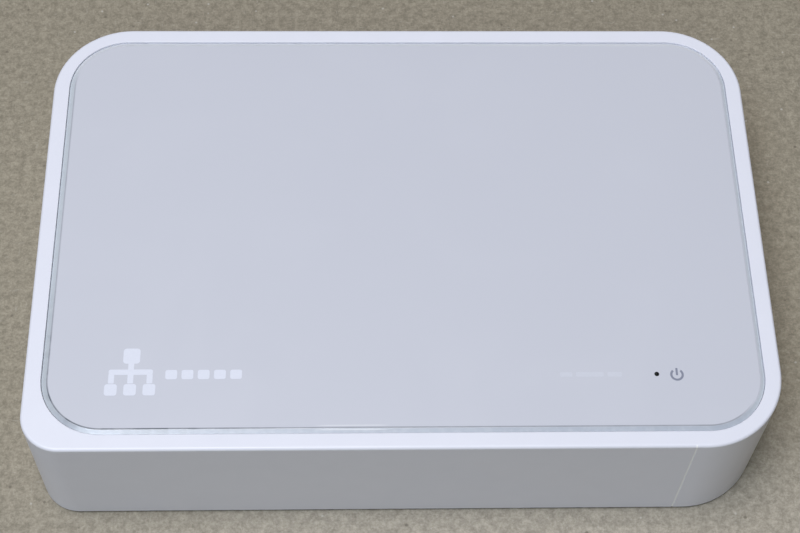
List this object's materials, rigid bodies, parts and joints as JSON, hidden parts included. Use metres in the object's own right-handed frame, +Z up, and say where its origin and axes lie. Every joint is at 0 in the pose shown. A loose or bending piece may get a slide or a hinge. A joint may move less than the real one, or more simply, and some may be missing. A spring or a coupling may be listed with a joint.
{
  "type": "desktop network switch",
  "caption": "Low rounded plastic case with an inlaid top plate, a row of modular network sockets and a barrel power jack in its back wall, and its populated circuit board inside.",
  "frame": {"origin": "centre of the case on the plane its feet stand on", "axes": "+X to the right seen from the front, +Y towards the back wall with the ports, +Z up"},
  "size_m": [0.1036, 0.07, 0.022],
  "materials": {
    "cover_white": "fine satin moulding, white",
    "plate": "back-printed clear plate, pale grey-lavender, satin gloss",
    "film": "white adhesive film",
    "base_white": "fine spark-eroded grain, white",
    "label": "blank silver-grey label",
    "rubber": "soft dark grey",
    "board": "green solder mask over woven laminate",
    "steel": "zinc plated",
    "tin": "tin plated leads",
    "jack_black": "black moulded, semi-matte",
    "contact_gold": "gold flashed phosphor bronze wire",
    "light_guide": "clear moulded light guide",
    "nickel": "bright nickel plated",
    "package_black": "moulded epoxy package",
    "can": "bare aluminium can",
    "crystal": "drawn metal can",
    "ferrite": "dark ferrite core",
    "resistor": "chip resistor with tinned ends",
    "ceramic": "chip capacitor with tinned ends",
    "phosphor": "light source under clear resin"
  },
  "bodies": {
    "case": {"top_cover": "cover_white", "cover_plate": "plate", "adhesive_film": "film", "base_tray": "base_white", "rating_label": "label", "rubber_feet": "rubber", "circuit_board": "board", "board_screws": "steel", "port_1_housing": "jack_black", "port_2_housing": "jack_black", "port_3_housing": "jack_black", "port_4_housing": "jack_black", "port_5_housing": "jack_black", "port_1_leads": "contact_gold", "port_2_leads": "contact_gold", "port_3_leads": "contact_gold", "port_4_leads": "contact_gold", "port_5_leads": "contact_gold", "port_1_light": "light_guide", "port_2_light": "light_guide", "port_3_light": "light_guide", "port_4_light": "light_guide", "port_5_light": "light_guide", "jack_housing": "jack_black", "jack_pin": "nickel", "jack_tails": "tin", "switch_chip": "package_black", "switch_chip_legs": "tin", "clock_crystal": "crystal", "transformer_1": "package_black", "transformer_2": "package_black", "transformer_3": "package_black", "transformer_4": "package_black", "transformer_5": "package_black", "transformer_legs": "tin", "capacitor_cans": "can", "capacitor_bases": "package_black", "power_coil": "ferrite", "coil_clips": "tin", "regulator": "package_black", "regulator_legs": "tin", "power_light": "phosphor", "light_pipe": "light_guide", "chip_resistors": "resistor", "chip_capacitors": "ceramic"},
    "port_1_contacts": {"port_1_springs": "contact_gold"},
    "port_2_contacts": {"port_2_springs": "contact_gold"},
    "port_3_contacts": {"port_3_springs": "contact_gold"},
    "port_4_contacts": {"port_4_springs": "contact_gold"},
    "port_5_contacts": {"port_5_springs": "contact_gold"},
    "jack_contact": {"jack_spring": "nickel"}
  },
  "joints": [
    {"name": "port_1_contact_lift", "type": "hinge", "parent": "case", "child": "port_1_contacts", "pos_m": [0.0216, 0.0326, 0.01675], "axis": [-1, 0, 0], "range_deg": [0, 8], "stiffness_Nm_per_rad": 0.12},
    {"name": "port_2_contact_lift", "type": "hinge", "parent": "case", "child": "port_2_contacts", "pos_m": [0.008, 0.0326, 0.01675], "axis": [-1, 0, 0], "range_deg": [0, 8], "stiffness_Nm_per_rad": 0.12},
    {"name": "port_3_contact_lift", "type": "hinge", "parent": "case", "child": "port_3_contacts", "pos_m": [-0.0056, 0.0326, 0.01675], "axis": [-1, 0, 0], "range_deg": [0, 8], "stiffness_Nm_per_rad": 0.12},
    {"name": "port_4_contact_lift", "type": "hinge", "parent": "case", "child": "port_4_contacts", "pos_m": [-0.0192, 0.0326, 0.01675], "axis": [-1, 0, 0], "range_deg": [0, 8], "stiffness_Nm_per_rad": 0.12},
    {"name": "port_5_contact_lift", "type": "hinge", "parent": "case", "child": "port_5_contacts", "pos_m": [-0.0328, 0.0326, 0.01675], "axis": [-1, 0, 0], "range_deg": [0, 8], "stiffness_Nm_per_rad": 0.12},
    {"name": "jack_contact_give", "type": "hinge", "parent": "case", "child": "jack_contact", "pos_m": [0.0349, 0.0234, 0.0091], "axis": [-1, 0, 0], "range_deg": [0, 3], "stiffness_Nm_per_rad": 0.15}
  ]
}
